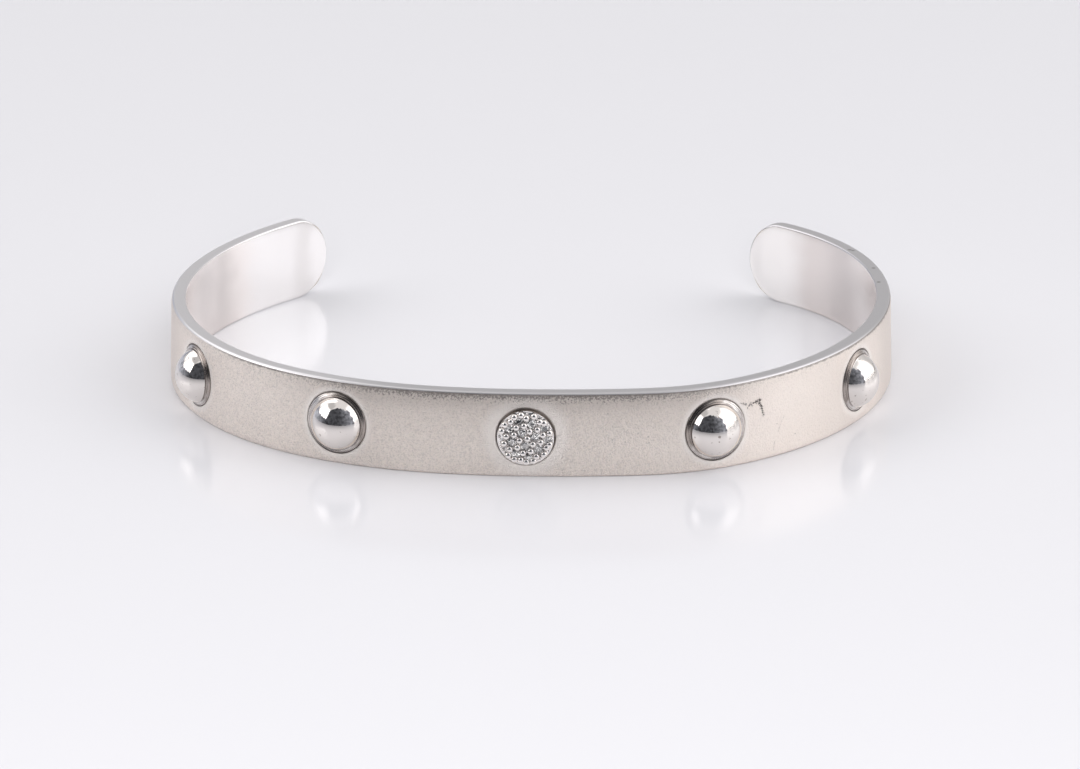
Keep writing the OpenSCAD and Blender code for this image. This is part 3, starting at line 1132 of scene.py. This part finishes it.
def build_tent():
    """A white tent with a dark opening at the front, where the camera looks in."""
    world = bpy.data.worlds.new("tent")
    bpy.context.scene.world = world
    world.use_nodes = True
    tree = world.node_tree
    direction = tree.nodes.new("ShaderNodeTexCoord").outputs["Generated"]
    right, back, up = parts(tree, direction)
    to_degrees = 180 / math.pi
    around = times(tree, calc(tree, "ARCTAN2", right, times(tree, back, -1.0)), to_degrees)
    height = times(tree, calc(tree, "ARCSINE", up), to_degrees)
    folds = tree.nodes.new("ShaderNodeTexNoise")
    tree.links.new(direction, folds.inputs["Vector"])
    folds.inputs["Scale"].default_value = 5.0
    folds.inputs["Detail"].default_value = 3.0
    fold = folds.outputs[0]
    above = nudged(tree, height, fold, FOLD_REACH)
    dark = dark_part(tree, nudged(tree, around, fold, FOLD_REACH), above)
    cloth = cloth_level(tree, around, height, above)
    inside = plus(tree, fade(tree, around, -5, 60, 0.05, 0.24), fade(tree, around, -130, -50, 0.35, 0.0))
    inside = times(tree, inside, dark, fade(tree, fold, 0.3, 0.7, 0.6, 1.5))
    level = plus(tree, times(tree, cloth, calc(tree, "SUBTRACT", 1.0, dark)), inside)
    shader = tree.nodes["Background"]
    tree.links.new(tint(tree, dark, (1.0, 0.99, 1.0), (0.93, 0.98, 1.12)), shader.inputs["Color"])
    tree.links.new(times(tree, level, TENT_LEVEL), shader.inputs["Strength"])


def build_lamp():
    """A small lamp at the front, which brightens the matte face and the floor."""
    lamp = bpy.data.lights.new("front lamp", "AREA")
    lamp.shape = "DISK"
    lamp.size = 0.3
    lamp.energy = 1.5
    holder = bpy.data.objects.new("front lamp", lamp)
    bpy.context.collection.objects.link(holder)
    holder.location = (0.03, -0.5, 0.26)
    holder.rotation_mode = "QUATERNION"
    holder.rotation_quaternion = (-holder.location).to_track_quat("-Z", "Y")
    holder.visible_glossy = False


CAMERA_TARGET = Vector((1.266, -11.064, 3.729)) * MM
CAMERA_DISTANCE = 547.8 * MM
CAMERA_HEIGHT_ANGLE = math.radians(20.07)
CAMERA_SIDE_ANGLE = math.radians(2.1)


def build_camera():
    data = bpy.data.cameras.new("camera")
    camera = bpy.data.objects.new("camera", data)
    bpy.context.collection.objects.link(camera)
    bpy.context.scene.camera = camera
    level = math.cos(CAMERA_HEIGHT_ANGLE)
    away = Vector((
        math.sin(CAMERA_SIDE_ANGLE) * level,
        -math.cos(CAMERA_SIDE_ANGLE) * level,
        math.sin(CAMERA_HEIGHT_ANGLE),
    ))
    camera.location = CAMERA_TARGET + away * CAMERA_DISTANCE
    camera.rotation_mode = "QUATERNION"
    camera.rotation_quaternion = (-away).to_track_quat("-Z", "Y")
    data.sensor_width = 36
    data.lens = 210.31
    data.clip_start = 0.01
    data.clip_end = 50


build_camera()
build_tent()
build_lamp()
build_floor()
build_band([matte_silver(), satin_silver(), edge_silver(), dull_silver()])
mirror, turned_skirt = mirror_silver(), turned_silver()
for number in range(4):
    build_stud(number, [mirror, turned_skirt])
build_setting([setting_silver(), cut_silver(), turned_skirt])
dress_stones(clear_stone())

bpy.context.scene.view_settings.view_transform = "Standard"
